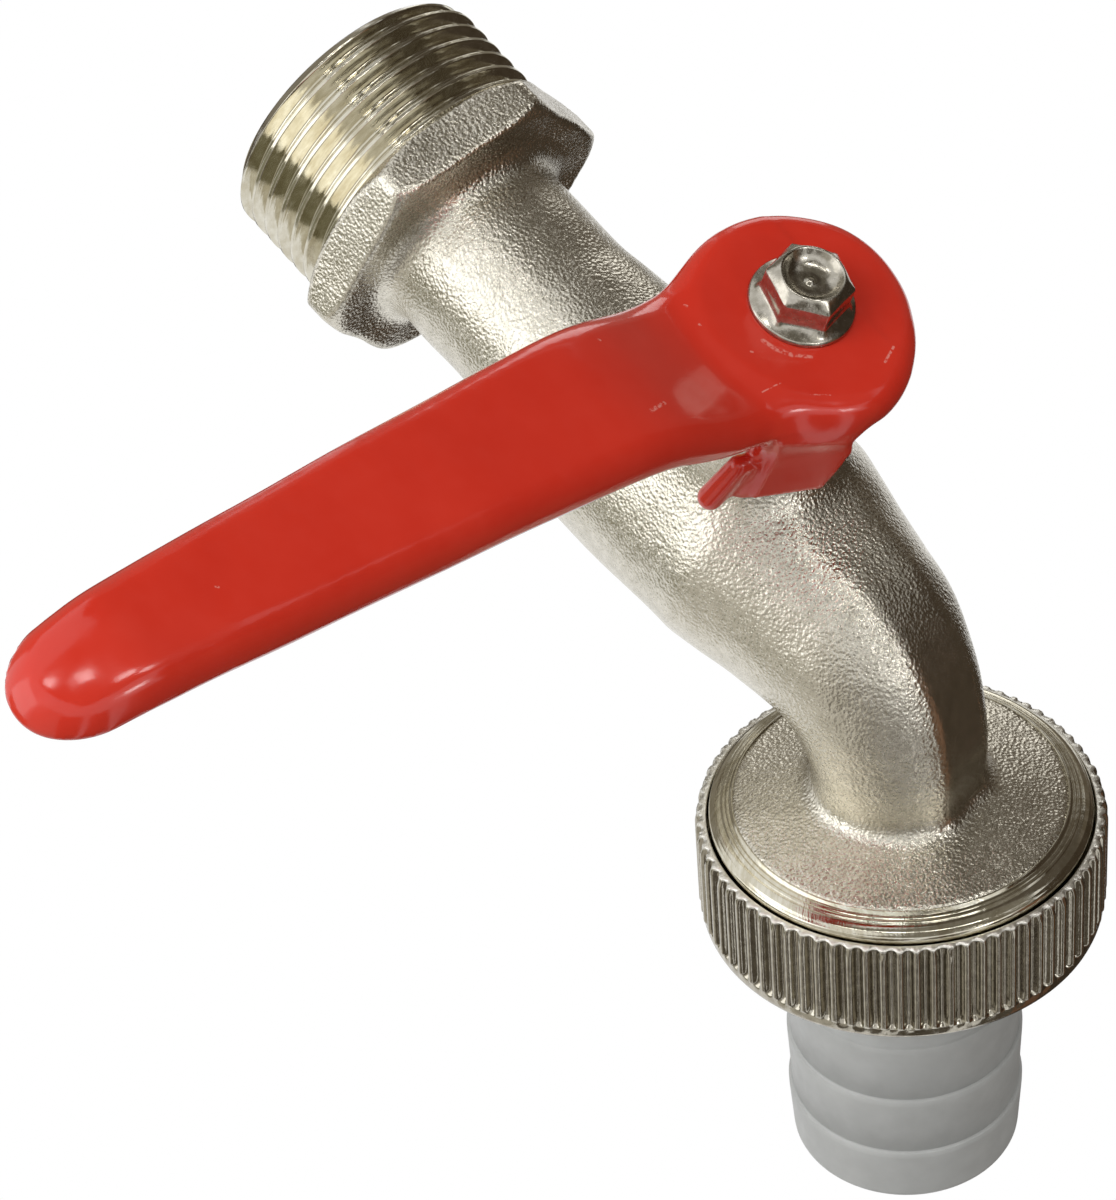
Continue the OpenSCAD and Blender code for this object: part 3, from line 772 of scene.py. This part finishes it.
def stop_tab(p):
    """Folded tab: a plate, a slightly raised panel on its outside, and the bead of dip that hangs
    along its free edge, which is the distance to a straight line less a radius."""
    x, y, z = p[:, 0] - STEM_X, p[:, 1], p[:, 2]
    cos, sin = math.cos(TAB_TURN), math.sin(TAB_TURN)
    q = np.stack([x * cos + y * sin, -x * sin + y * cos, z], 1)
    skin = plate(q[:, 0], q[:, 1], z, TAB_CORNERS, *TAB_SHEET)
    skin = blend_in(skin, plate(q[:, 0], q[:, 1], z, PANEL_CORNERS, *PANEL_SHEET), 0.35)
    run = FINGER[1] - FINGER[0]
    along = np.clip((q - FINGER[0]) @ run / (run @ run), 0, 1)
    bead = np.linalg.norm(q - FINGER[0] - along[:, None] * run, axis=1)
    return blend_in(skin, bead - FINGER_R - FINGER_SWELL * along, 1.0)


def dipped_lever(p):
    """Bar, head and tab run together by the dip, with a keyed hole for the stem."""
    x, y = p[:, 0] - STEM_X, p[:, 1]
    skin = blend_in(lever_head(p), lever_bar(p), 2.4)
    skin = blend_in(skin, stop_tab(p), 2.0)
    skin = skin + unevenness(p, 0.05, 11.0, 9)
    hole = np.maximum(np.hypot(x, y) - SHANK_R, np.abs(y) - KEY_HALF)
    return np.maximum(skin, -hole)


LEVER_STEP = 0.36
points, quads = net_over(dipped_lever, (STEM_X - 11.5, -82.5, 15), (STEM_X + 14, 11.5, 46), LEVER_STEP)
lever = mesh_object("lever_dipped", points, quads)
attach(lever, "lever")
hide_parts("lever_handle")
report(lever)

# %% [markdown]
# ## Lever bolt
# A flanged hexagon bolt, cold headed: its top is dished, its corners are turned off and its flange
# slopes. One grid covers it from the foot of its shank to the middle of the dish, and each ring is a
# mix of a circle and a hexagon.

# %% Bolt head
BOLT_Z = 29.0
BOLT_TURN = math.radians(12)
BOLT_AROUND = 144
CORNER_REACH = 1.14
BOLT_RINGS = [  # height above the head, radius to the flats, share of hexagon
    (-9.0, 0.001, 0), (-9.0, 1.6, 0), (-8.6, 1.95, 0), (0.0, 1.95, 0), (0.0, 4.3, 0), (0.1, 4.46, 0),
    (0.3, 4.5, 0), (0.52, 4.44, 0), (0.62, 4.3, 0), (0.72, 4.05, 0.1), (0.95, 3.7, 0.5), (1.15, 3.4, 0.9),
    (1.3, 3.28, 1), (2.0, 3.26, 1), (3.2, 3.26, 1), (3.34, 3.22, 0.97), (3.6, 3.08, 0.6),
    (3.88, 2.93, 0.25), (4.07, 2.78, 0.05), (4.17, 2.68, 0), (4.16, 2.6, 0), (4.02, 2.5, 0),
    (3.75, 2.32, 0), (3.4, 2.02, 0), (3.16, 1.6, 0), (3.05, 1.1, 0), (3.04, 0.6, 0), (3.12, 0.4, 0),
    (3.28, 0.25, 0), (3.32, 0.001, 0)]


def bolt_points():
    """Radius at each angle: the ring's own, divided by the cosine of the angle from the nearest
    flat as far as the ring is a hexagon, with the corners held in by the turned chamfer."""
    rings = np.array(BOLT_RINGS)
    angle = np.arange(BOLT_AROUND) * 2 * math.pi / BOLT_AROUND
    off = (angle + math.pi / 6) % (math.pi / 3) - math.pi / 6
    reach = np.minimum(1 / np.cos(off), CORNER_REACH)
    r = rings[:, 1:2] * (1 + rings[:, 2:3] * (reach - 1))
    z = np.repeat(BOLT_Z + rings[:, :1], BOLT_AROUND, 1)
    turned = angle + BOLT_TURN
    return np.stack([STEM_X + r * np.cos(turned), r * np.sin(turned), z], -1).reshape(-1, 3)


bolt = mesh_object("lever_bolt_head", bolt_points(), grid_faces(len(BOLT_RINGS), BOLT_AROUND))
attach(bolt, "lever")
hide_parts("lever_bolt")
report(bolt)

# %% [markdown]
# ## Finishes
# Each finish is built from what the metal or plastic is and how its surface was made. Colours are
# written as the usual hex values and turned to the linear light that the renderer works in.

# %% Helpers for finishes
def linear(hex_colour):
    """sRGB hex to linear light: c / 12.92 below 0.04045, else ((c + 0.055) / 1.055) ** 2.4."""
    c = np.array([int(hex_colour[i:i + 2], 16) for i in (1, 3, 5)]) / 255
    c = np.where(c <= 0.04045, c / 12.92, ((c + 0.055) / 1.055) ** 2.4)
    return (*c, 1.0)


def add_node(tree, kind, settings=None, **inputs):
    """Adds a node, sets its own properties, then its inputs: a value, or a socket to link from.
    An underscore in an input's name stands for a space."""
    node = tree.nodes.new(kind)
    for key, value in (settings or {}).items():
        setattr(node, key, value)
    for key, value in inputs.items():
        socket = node.inputs[int(key[1:])] if key[0] == "i" and key[1:].isdigit() else node.inputs[
            key.replace("_", " ")]
        if isinstance(value, bpy.types.NodeSocket):
            tree.links.new(value, socket)
        else:
            socket.default_value = value
    return node


def new_finish(name, **sockets):
    """A material with one Principled shader, its constant sockets set, and object coordinates."""
    material = bpy.data.materials.new(name)
    material.use_nodes = True
    tree = material.node_tree
    tree.nodes.clear()
    shader = add_node(tree, "ShaderNodeBsdfPrincipled", **sockets)
    add_node(tree, "ShaderNodeOutputMaterial", Surface=shader.outputs[0])
    place = add_node(tree, "ShaderNodeTexCoord").outputs["Object"]
    return material, tree, shader, place


def wear(piece, material):
    """Puts a finish on all of a piece."""
    piece.data.materials.clear()
    piece.data.materials.append(material)
    print(piece.name, "wears", material.name)


def per_mm(size_mm):
    """Texture scale for a pattern whose features are this many millimetres apart, on object
    coordinates in metres."""
    return 1 / (size_mm * MM)


# %% Patterns
def maths(tree, operation, a, b):
    """One operation on two values or sockets."""
    return add_node(tree, "ShaderNodeMath", {"operation": operation}, i0=a, i1=b).outputs[0]


def mixed(tree, share, low, high):
    """A colour between two others, each a hex value or a socket, by a share from 0 to 1."""
    low, high = (linear(colour) if isinstance(colour, str) else colour for colour in (low, high))
    return add_node(tree, "ShaderNodeMix", {"data_type": "RGBA"}, i0=share, i6=low, i7=high).outputs[2]


def mixed_value(tree, share, low, high):
    """A value between two others by a share from 0 to 1."""
    return add_node(tree, "ShaderNodeMix", {"data_type": "FLOAT"}, i0=share, i2=low, i3=high).outputs[0]


def between(tree, value, low, high, low_out=0.0, high_out=1.0):
    """Stretches a value from the range low..high to another range, held at its ends."""
    return add_node(tree, "ShaderNodeMapRange", {"clamp": True}, Value=value, From_Min=low,
                    From_Max=high, To_Min=low_out, To_Max=high_out).outputs[0]


def noise(tree, place, size_mm, detail=2.0, roughness=0.5):
    """Noise with features about this large."""
    return add_node(tree, "ShaderNodeTexNoise", Vector=place, Scale=per_mm(size_mm), Detail=detail,
                    Roughness=roughness).outputs[0]


def patchy(tree, place, size_mm, low, high, detail=3.0, edges=(0.3, 0.7)):
    """Varies from patch to patch of about this size, between two hex colours or two values."""
    share = noise(tree, place, size_mm, detail)
    if isinstance(low, str):
        return mixed(tree, between(tree, share, *edges), low, high)
    return between(tree, share, *edges, low, high)


def streaks(tree, place, fine_mm, long_mm, tilt=0.0, upright=False):
    """Noise drawn out into lines: round the X axis after a turn about Y, or upright."""
    sizes = (fine_mm, fine_mm, long_mm) if upright else (fine_mm, long_mm, long_mm)
    turned_place = add_node(tree, "ShaderNodeMapping", {"vector_type": "POINT"}, Vector=place,
                            Rotation=(0, tilt, 0)).outputs[0]
    drawn = add_node(tree, "ShaderNodeMapping", {"vector_type": "POINT"}, Vector=turned_place,
                     Scale=tuple(per_mm(size) for size in sizes)).outputs[0]
    return add_node(tree, "ShaderNodeTexNoise", Vector=drawn, Scale=1.0, Detail=3.0,
                    Roughness=0.6).outputs[0]


def bumped(tree, height, deep_mm):
    """Normal of a relief whose height of 1 is this deep."""
    return add_node(tree, "ShaderNodeBump", Height=height, Distance=deep_mm * MM, Strength=1.0).outputs[0]


def stored(tree, name):
    """The value that was kept for every point of the piece."""
    return add_node(tree, "ShaderNodeAttribute", {"attribute_name": name}).outputs["Fac"]


def drive(tree, shader, **sockets):
    """Links a pattern to each of the shader's named inputs."""
    for key, value in sockets.items():
        tree.links.new(value, shader.inputs[key.replace("_", " ")])


# %% Blasted nickel
# Shot leaves round dents side by side, so the metal is a field of small bowls with ridges between
# them: each catches the light at its own angle, which is the sparkle. The real dents are about a third
# as wide, too fine to show, so they are drawn coarser. The dressed land has lost most of them.
BLAST_MM = 0.3
BLAST_DEEP_MM = 0.065
DRESSED_RELIEF = 0.25
blasted, tree, shader, place = new_finish("nickel_plate_over_blasted_brass", Metallic=1.0)
dents = add_node(tree, "ShaderNodeTexVoronoi", {"feature": "SMOOTH_F1"}, Vector=place,
                 Scale=per_mm(BLAST_MM), Smoothness=0.6).outputs[0]
grain = noise(tree, place, BLAST_MM, 3.0, 0.62)
dressed = stored(tree, "dressed")
relief = maths(tree, "MULTIPLY", maths(tree, "ADD", dents, grain),
               between(tree, dressed, 0, 1, 1, DRESSED_RELIEF))
drive(tree, shader,
      Base_Color=patchy(tree, place, 1.1, "#D1CCBE", "#DFDACD", edges=(0.35, 0.65)),
      Roughness=mixed_value(tree, dressed, between(tree, grain, 0.35, 0.7, 0.15, 0.32), 0.2),
      Normal=bumped(tree, relief, BLAST_DEEP_MM))
wear(forging, blasted)

# %% Turned nickel
# A lathe tool leaves fine rings round the axis, which draw the highlights out across them, and the
# plate over them stays bright. The rings are drawn coarser than the real feed, which wouldn't show.
RING_MM = 0.12
TOOL_DEEP_MM = 0.012


def turned_nickel(name, tilt):
    """Bright plate over tool rings, round an axis that is tilted from X about Y."""
    material, tree, shader, place = new_finish(name, Metallic=1.0)
    tone = between(tree, streaks(tree, place, 0.5, 2.5, tilt), 0.35, 0.65)
    drive(tree, shader, Base_Color=mixed(tree, tone, "#C4BDA8", "#DCD8C9"),
          Roughness=patchy(tree, place, 0.7, 0.07, 0.2, 4.0, (0.4, 0.7)),
          Normal=bumped(tree, streaks(tree, place, RING_MM, 4.0, tilt), TOOL_DEEP_MM))
    return material


wear(inlet, turned_nickel("nickel_plate_over_turned_thread", 0.0))
wear(rim, turned_nickel("nickel_plate_over_turned_rim", BEND))

# %% Knurl
# The wheel pressed the teeth, so their flanks are smooth and bright. Where it tore the top edge the relief
# is ragged, and the colour there is near-white: a painted highlight for the glint of the torn tips.
knurled, tree, shader, place = new_finish("nickel_plate_over_knurled_brass", Metallic=1.0)
torn = stored(tree, "torn")
ragged = maths(tree, "MULTIPLY", noise(tree, place, 0.3, 3.0), between(tree, torn, 0, 1, 1, 6))
# near-white along the torn top edge is a painted highlight; the ragged bump under it is real relief
drive(tree, shader,
      Base_Color=mixed(tree, torn, patchy(tree, place, 0.8, "#A39D90", "#BDB8AA"), "#F2F0E8"),
      Roughness=mixed_value(tree, torn, patchy(tree, place, 0.6, 0.08, 0.2, 4.0), 0.4),
      Normal=bumped(tree, ragged, TOOL_DEEP_MM))
wear(nut, knurled)

# %% Zinc plate and grey plastic
# Zinc plate is a cool, clear grey that dulls in patches, over the upright lines of the die.
zinc, tree, shader, place = new_finish("bright_zinc_plated_steel", Metallic=1.0)
drive(tree, shader, Base_Color=patchy(tree, place, 0.7, "#A19C8F", "#C0BBB0"),
      Roughness=patchy(tree, place, 0.5, 0.12, 0.3),
      Normal=bumped(tree, streaks(tree, place, 0.22, 2.5, upright=True), TOOL_DEEP_MM))
wear(bolt, zinc)

# The tail is one even grey all through, with a matt skin that gives a broad, soft shine.
grey, tree, shader, place = new_finish("matt_grey_hose_tail", Metallic=0.0)
drive(tree, shader, Base_Color=patchy(tree, place, 2.5, "#C0C2C1", "#C9CBCA", 4.0),
      Roughness=patchy(tree, place, 0.8, 0.42, 0.56),
      Normal=bumped(tree, noise(tree, place, 0.25, 3.0), 0.008))
wear(tail, grey)

# %% [markdown]
# ### Red dip
# The dip is a soft, thick, glossy vinyl: strongly coloured all through, with a slightly wavy skin.
# Keys and pliers leave pale, dull scuffs on it. Each scuff is a short line on the lever, seen from
# above, and the distance to it is worked out inside the material, so no picture is needed.

# %% Red dip with its scuffs
SCUFFS = [  # from, to (x and y in millimetres, seen from above), width
    ((55.3, -8.8), (55.5, -7.0), 0.16), ((57.6, -5.5), (58.5, -4.1), 0.14),
    ((58.6, 2.0), (57.9, 3.6), 0.3), ((51.6, -5.3), (52.7, -5.0), 0.55),
    ((52.7, -5.0), (53.9, -4.2), 0.6), ((53.9, -4.2), (54.9, -3.0), 0.45),
    ((53.9, -21.3), (53.6, -19.4), 0.45), ((45.4, -8.4), (45.6, -8.3), 0.3),
    ((47.6, -8.8), (47.7, -8.7), 0.3), ((51.9, -7.0), (52.0, -6.9), 0.25),
    ((46.3, -20.0), (46.4, -19.9), 0.3), ((50.8, -63.2), (50.9, -63.1), 0.3)]


def scuffed(tree, place):
    """1 near any of the scuffs: the distance to each short line, seen from above, is held against
    half its width, and fine noise breaks the mark up."""
    seen = add_node(tree, "ShaderNodeVectorMath", {"operation": "MULTIPLY"}, i0=place,
                    i1=(1 / MM, 1 / MM, 0)).outputs[0]
    total = None
    for start, end, width in SCUFFS:
        run = np.array([end[0] - start[0], end[1] - start[1], 0])
        off = add_node(tree, "ShaderNodeVectorMath", {"operation": "SUBTRACT"}, i0=seen,
                       i1=(*start, 0)).outputs[0]
        along = add_node(tree, "ShaderNodeVectorMath", {"operation": "DOT_PRODUCT"}, i0=off,
                         i1=tuple(run / (run @ run))).outputs["Value"]
        foot = add_node(tree, "ShaderNodeVectorMath", {"operation": "SCALE"}, i0=tuple(run),
                        Scale=between(tree, along, 0, 1)).outputs[0]
        away = add_node(tree, "ShaderNodeVectorMath", {"operation": "DISTANCE"}, i0=off,
                        i1=foot).outputs["Value"]
        near = between(tree, away, width / 2, width / 5)
        total = near if total is None else maths(tree, "MAXIMUM", total, near)
    broken = between(tree, noise(tree, place, 0.35, 3.0, 0.7), 0.42, 0.56)
    return maths(tree, "MULTIPLY", total, broken)


red, tree, shader, place = new_finish("red_vinyl_dip", Metallic=0.0, Coat_Weight=0.15, Coat_Roughness=0.03)
scuffs = scuffed(tree, place)
vinyl = patchy(tree, place, 6, "#D2301F", "#D73524")
drive(tree, shader,
      Base_Color=mixed(tree, between(tree, scuffs, 0, 1, 0, 0.6), vinyl, "#EBA296"),
      Roughness=mixed_value(tree, scuffs, patchy(tree, place, 1.5, 0.12, 0.2, 4.0), 0.42),
      Normal=bumped(tree, noise(tree, place, 3.5, 2.0), 0.05))
wear(lever, red)

# %% Hidden parts
def plain(name, tones, tone_mm, shine, shine_mm=0.5, **sockets):
    """A finish whose tone and shine only vary in patches."""
    material, tree, shader, place = new_finish(name, **sockets)
    drive(tree, shader, Base_Color=patchy(tree, place, tone_mm, *tones),
          Roughness=patchy(tree, place, shine_mm, *shine))
    return material


# Cut brass is yellow and lightly tarnished, the seats are waxy white, the rings dull black rubber.
brass = plain("machined_brass", ("#BE9850", "#D6B46C"), 1.2, (0.2, 0.36), Metallic=1.0)
ptfe = plain("white_ptfe", ("#E8E6DE", "#F2F1EC"), 2, (0.38, 0.5), 0.6)
rubber = plain("black_nitrile_rubber", ("#1D1D1D", "#2B2A29"), 1.5, (0.5, 0.7))
HIDDEN = {"stem": brass, "gland_nut": brass, "seat_retainer": brass, "seat_inlet": ptfe,
          "seat_outlet": ptfe, "thrust_washer": ptfe, "stem_packing": ptfe, "stem_o_ring": rubber,
          "outlet_gasket": rubber, "ball": zinc}
for name, finish in HIDDEN.items():
    wear(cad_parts[name], finish)

# %% [markdown]
# ## Studio
# The tap was photographed on white. The floor and the world look pure white to the camera, to
# reflections and through glass by their own colour, while the light that falls on the tap stays
# plain. Polished metal in a white room looks like paper, so cards stand round it: dark ones on the
# right, grey ones in front and overhead, and the lamps on the left, where the photograph's metal is
# brightest. Four small boxes are the windows that show in the dome of the lever's tip.

# %% Floor and world
FLOOR_Z, FLOOR_HALF = -1000.0, 1500.0
MIDDLE = np.array([50.0, 0, 0])


def flat(name, corners):
    """A staged flat with these corners, in millimetres."""
    mesh = bpy.data.meshes.new(name)
    mesh.from_pydata([tuple(c * MM) for c in corners], [], [tuple(range(len(corners)))])
    made = bpy.data.objects.new(name, mesh)
    bpy.context.scene.collection.objects.link(made)
    return made


def level_square(z, half):
    """Corners of a level square above or below the middle of the tap."""
    return [MIDDLE + np.array([a * half, b * half, z]) for a, b in ((-1, -1), (1, -1), (1, 1), (-1, 1))]


def seen_directly(tree):
    """1 for rays from the camera, in reflections or through glass, else 0."""
    path = add_node(tree, "ShaderNodeLightPath")
    seen = maths(tree, "MAXIMUM", path.outputs["Is Camera Ray"], path.outputs["Is Transmission Ray"])
    return maths(tree, "MAXIMUM", seen, path.outputs["Is Glossy Ray"])


floor = flat("floor", level_square(FLOOR_Z, FLOOR_HALF))
white, tree, shader, place = new_finish("white_floor", Roughness=0.9, Base_Color=linear("#E8E8E8"))
glow = add_node(tree, "ShaderNodeEmission", Color=(1, 1, 1, 1), Strength=1.0)
both = add_node(tree, "ShaderNodeMixShader", Fac=seen_directly(tree), i1=shader.outputs[0],
                i2=glow.outputs[0])
tree.links.new(both.outputs[0], tree.nodes["Material Output"].inputs["Surface"])
floor.data.materials.append(white)

world = bpy.data.worlds.new("studio")
world.use_nodes = True
bpy.context.scene.world = world
tree = world.node_tree
tree.nodes.clear()
room = add_node(tree, "ShaderNodeBackground", Color=linear("#A3A19E"), Strength=1.0)
backdrop = add_node(tree, "ShaderNodeBackground", Color=(1, 1, 1, 1), Strength=1.0)
both = add_node(tree, "ShaderNodeMixShader", Fac=seen_directly(tree), i1=room.outputs[0],
                i2=backdrop.outputs[0])
add_node(tree, "ShaderNodeOutputWorld", Surface=both.outputs[0])
print("floor at", FLOOR_Z, "mm,", 2 * FLOOR_HALF, "mm wide")

# %% Lamps and cards
ABOVE_TIP = np.array([50, -76, 44])


def soft_box(name, way, distance, size, radiance, seen_from=MIDDLE):
    """A rectangular lamp in a direction and at a distance in millimetres from a point. Its power
    is radiance times pi times its area, so the radiance is how bright it looks in the metal."""
    data = bpy.data.lights.new(name, "AREA")
    data.shape = "RECTANGLE"
    data.size, data.size_y = size[0] * MM, size[1] * MM
    data.energy = radiance * math.pi * data.size * data.size_y
    lamp = bpy.data.objects.new(name, data)
    lamp.visible_camera = False
    bpy.context.scene.collection.objects.link(lamp)
    back = np.array(way, float) / np.linalg.norm(way)
    side = np.cross((0, 0, 1.0), back)
    side = side / np.linalg.norm(side)
    turned_to = np.eye(4)
    turned_to[:3, 0], turned_to[:3, 1], turned_to[:3, 2] = side, np.cross(back, side), back
    turned_to[:3, 3] = (seen_from + back * distance) * MM
    lamp.matrix_world = Matrix(turned_to.tolist())
    return lamp


CARD_AWAY = 400.0


def card(name, turn, half, low, high, colour):
    """A grey card that only reflections see. It stands in the direction turn from the tap, in
    degrees from +X, as wide as half to each side and from the angle low to the angle high."""
    t = math.radians(turn)
    ahead, side = np.array([math.cos(t), math.sin(t), 0]), np.array([-math.sin(t), math.cos(t), 0])
    up = np.array([0, 0, 1])
    wide = math.tan(math.radians(half))
    corners = [MIDDLE + CARD_AWAY * (ahead + a * wide * side + math.tan(math.radians(b)) * up)
               for a, b in ((1, low), (-1, low), (-1, high), (1, high))]
    reflected_card(name, corners, colour)


def reflected_card(name, corners, colour):
    """The card itself: a glowing flat that neither lights nor shades the tap."""
    made = flat(name, corners)
    made.visible_camera = made.visible_diffuse = made.visible_shadow = False
    finish, tree = new_finish(name)[:2]
    face = add_node(tree, "ShaderNodeEmission", Color=linear(colour), Strength=1.0)
    tree.links.new(face.outputs[0], tree.nodes["Material Output"].inputs["Surface"])
    made.data.materials.append(finish)


def toward(turn, rise):
    """Unit vector at an angle from +X and an angle above the level, in degrees."""
    t, e = math.radians(turn), math.radians(rise)
    return math.cos(e) * math.cos(t), math.cos(e) * math.sin(t), math.sin(e)


key = soft_box("box_key", (-0.25, -0.8, 0.6), 600, (420, 420), 2.7)
key.visible_glossy = False
soft_box("box_left", (-0.5, -0.86, 0.16), 600, (440, 500), 1.15)
soft_box("box_back", toward(134, 4), 350, (140, 150), 1.6)
soft_box("box_spark", toward(0, 44), 400, (52, 52), 9.0)
for i, (turn, rise) in enumerate([(-152, 64), (170, 79), (75, 76), (60, 63)]):
    soft_box(f"box_window_{i}", toward(turn, rise), 250, (36, 36), 9.0, ABOVE_TIP)
CARDS = [  # name, direction, half the width, low edge and high edge in degrees, colour
    ("card_right", 58, 33, -64, 52, "#463D33"), ("card_right_back", 102, 13, -14, 36, "#6A6258"),
    ("card_brown", 24, 7, -45, 44, "#7A5C48"), ("card_front_a", 8, 9, -46, 30, "#5E574D"),
    ("card_front_b", -22, 11, -46, 30, "#635C52"), ("card_front_c", -50, 11, -44, 30, "#6B645A"),
    ("card_front_left", -76, 18, -60, 34, "#CFCBC2"), ("card_left_low", -112, 22, -43, -8, "#8C8976"),
    ("card_back", 133, 19, -30, 26, "#857F74"), ("card_high", 121, 45, 27, 60, "#5A534A"),
    ("card_wall", 176, 22, -34, 14, "#8C867B"), ("card_wall_top", 160, 7, 13, 28, "#857F74"),
    ("card_wall_low", 158, 14, -62, -30, "#5A534A")]
CEILING_Z, CEILING_HALF = 460.0, 270.0
for name, *shape in CARDS:
    card(name, *shape)
reflected_card("card_ceiling", level_square(CEILING_Z, CEILING_HALF), "#7F7A70")

bpy.context.scene.view_settings.view_transform = "Standard"
